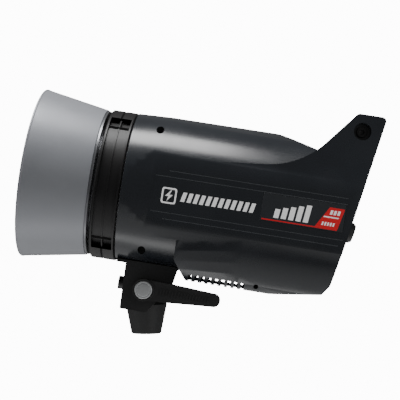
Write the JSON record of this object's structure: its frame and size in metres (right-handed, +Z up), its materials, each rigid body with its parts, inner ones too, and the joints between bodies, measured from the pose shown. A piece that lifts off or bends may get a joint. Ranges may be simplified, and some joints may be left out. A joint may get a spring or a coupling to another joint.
{
  "type": "monolight strobe",
  "caption": "Compact studio flash head with a flared reflector, bayonet lock ring, rear carry handle and control panel, on a tilting yoke with a stand socket.",
  "frame": {"origin": "centre of the stand socket's mouth", "axes": "+Z up along the stand socket, -X the way the light goes at level, +X to the rear, -Y the operator's left; the head rests tilted nose up by 9 degrees"},
  "size_m": [0.3424, 0.1624, 0.2344],
  "materials": {
    "casing_black": "satin moulded",
    "ring_black": "matte textured",
    "badge_dark": "satin printed",
    "panel_black": "fine texture",
    "key_rubber": "matte",
    "switch_red": "gloss",
    "knob_black": "knurled",
    "display_glass": "smoked",
    "display_panel": "lit",
    "bracket_black": "powder coat",
    "lever_black": "satin moulded",
    "lever_grey": "satin",
    "grip_rubber": "ribbed matte",
    "steel": "plated",
    "black_steel": "black oxide",
    "cast_aluminium": "as cast",
    "reflector_paint": "satin grey",
    "collar_grey": "dark anodised",
    "reflector_silver": "anodised",
    "tube_glass": "frosted",
    "lamp_glass": "frosted",
    "lamp_cap": "plated",
    "ceramic": "glazed",
    "capacitor_sleeve": "shrink sleeve",
    "board_green": "solder mask",
    "winding": "varnished",
    "fan_black": "moulded",
    "lens_red": "clear tinted"
  },
  "bodies": {
    "stand_socket": {"stand_socket": "bracket_black", "socket_liner": "steel"},
    "bayonet_lock_ring": {"bayonet_lock_ring": "ring_black"},
    "fan_rotor": {"fan_rotor": "fan_black"},
    "encoder_shaft": {"encoder_shaft": "steel"},
    "control_knob": {"control_knob": "knob_black"},
    "mode_button": {"mode_button": "key_rubber"},
    "model_button": {"model_button": "key_rubber"},
    "audio_button": {"audio_button": "key_rubber"},
    "cell_button": {"cell_button": "key_rubber"},
    "mains_switch": {"mains_switch": "switch_red"},
    "umbrella_lock_knob": {"umbrella_lock_knob": "knob_black"},
    "stand_lock_knob": {"stand_lock_knob": "knob_black"},
    "fuse_drawer": {"fuse_drawer": "panel_black", "fuse": "steel"},
    "tilt_lever": {"tilt_lever": "lever_black", "lever_cap": "lever_grey"},
    "head": {"badge_left": "badge_dark", "badge_right": "badge_dark", "bayonet_base": "cast_aluminium", "capacitor_strap": "cast_aluminium", "chassis_plate": "cast_aluminium", "control_board": "board_green", "display_module": "display_panel", "display_window": "display_glass", "fan_frame": "fan_black", "flash_capacitor_1": "capacitor_sleeve", "flash_capacitor_2": "capacitor_sleeve", "flash_capacitor_3": "capacitor_sleeve", "flash_tube": "tube_glass", "flash_tube_socket": "ceramic", "friction_washers": "steel", "front_plate": "reflector_silver", "handle_bar": "steel", "handle_grip": "grip_rubber", "handle_screws": "black_steel", "heat_sink": "cast_aluminium", "housing_left": "casing_black", "housing_right": "casing_black", "housing_screws": "black_steel", "lamp_socket": "ceramic", "mains_inlet": "panel_black", "modelling_bulb": "lamp_glass", "modelling_bulb_cap": "lamp_cap", "photocell_window": "lens_red", "power_board": "board_green", "rear_panel": "panel_black", "reflector_collar": "collar_grey", "reflector_shell": "reflector_paint", "service_port": "panel_black", "standoffs": "cast_aluminium", "status_lights": "lens_red", "switch_bezel": "panel_black", "sync_jack": "steel", "tilt_bolt": "steel", "tilt_yoke": "bracket_black", "transformer": "winding", "trigger_coil": "winding", "umbrella_tube": "bracket_black", "yoke_screws": "black_steel"}
  },
  "joints": [
    {"name": "head_tilt", "type": "hinge", "parent": "stand_socket", "child": "head", "pos_m": [0, 0, 0.043], "axis": [0, 1, 0], "range_deg": [-99, 78]},
    {"name": "tilt_lever_turn", "type": "hinge", "parent": "head", "child": "tilt_lever", "pos_m": [0, -0.035, 0.043], "axis": [0, 1, 0], "range_deg": [0, 120]},
    {"name": "bayonet_ring_turn", "type": "hinge", "parent": "head", "child": "bayonet_lock_ring", "pos_m": [-0.0299, 0, 0.14189], "axis": [0.9877, 0, -0.1564], "range_deg": [0, 25]},
    {"name": "fan_spin", "type": "hinge", "parent": "head", "child": "fan_rotor", "pos_m": [0.15184, 0, 0.11311], "axis": [0.9877, 0, -0.1564], "continuous": true},
    {"name": "encoder_press", "type": "slide", "parent": "head", "child": "encoder_shaft", "axis": [-0.9449, 0, 0.3272], "range_m": [0, 0.0008], "stiffness_N_per_m": 500},
    {"name": "control_knob_turn", "type": "hinge", "parent": "encoder_shaft", "child": "control_knob", "pos_m": [0.1884, 0, 0.09835], "axis": [0.9449, 0, -0.3272], "continuous": true},
    {"name": "mode_button_press", "type": "slide", "parent": "head", "child": "mode_button", "axis": [-0.9449, 0, 0.3272], "range_m": [0, 0.001], "stiffness_N_per_m": 500},
    {"name": "model_button_press", "type": "slide", "parent": "head", "child": "model_button", "axis": [-0.9449, 0, 0.3272], "range_m": [0, 0.001], "stiffness_N_per_m": 500},
    {"name": "audio_button_press", "type": "slide", "parent": "head", "child": "audio_button", "axis": [-0.9449, 0, 0.3272], "range_m": [0, 0.001], "stiffness_N_per_m": 500},
    {"name": "cell_button_press", "type": "slide", "parent": "head", "child": "cell_button", "axis": [-0.9449, 0, 0.3272], "range_m": [0, 0.001], "stiffness_N_per_m": 500},
    {"name": "mains_switch_rock", "type": "hinge", "parent": "head", "child": "mains_switch", "pos_m": [0.17297, 0.027, 0.06877], "axis": [0, -1, 0], "range_deg": [0, 14]},
    {"name": "fuse_drawer_slide", "type": "slide", "parent": "head", "child": "fuse_drawer", "axis": [0.9449, 0, -0.3272], "range_m": [0, 0.015]},
    {"name": "umbrella_lock_turn", "type": "hinge", "parent": "head", "child": "umbrella_lock_knob", "pos_m": [-0.01086, 0.045, 0.04472], "axis": [0, 1, 0], "range_deg": [0, 360]},
    {"name": "stand_lock_turn", "type": "hinge", "parent": "stand_socket", "child": "stand_lock_knob", "pos_m": [0, 0.045, 0.008], "axis": [0, 1, 0], "range_deg": [0, 360]}
  ]
}
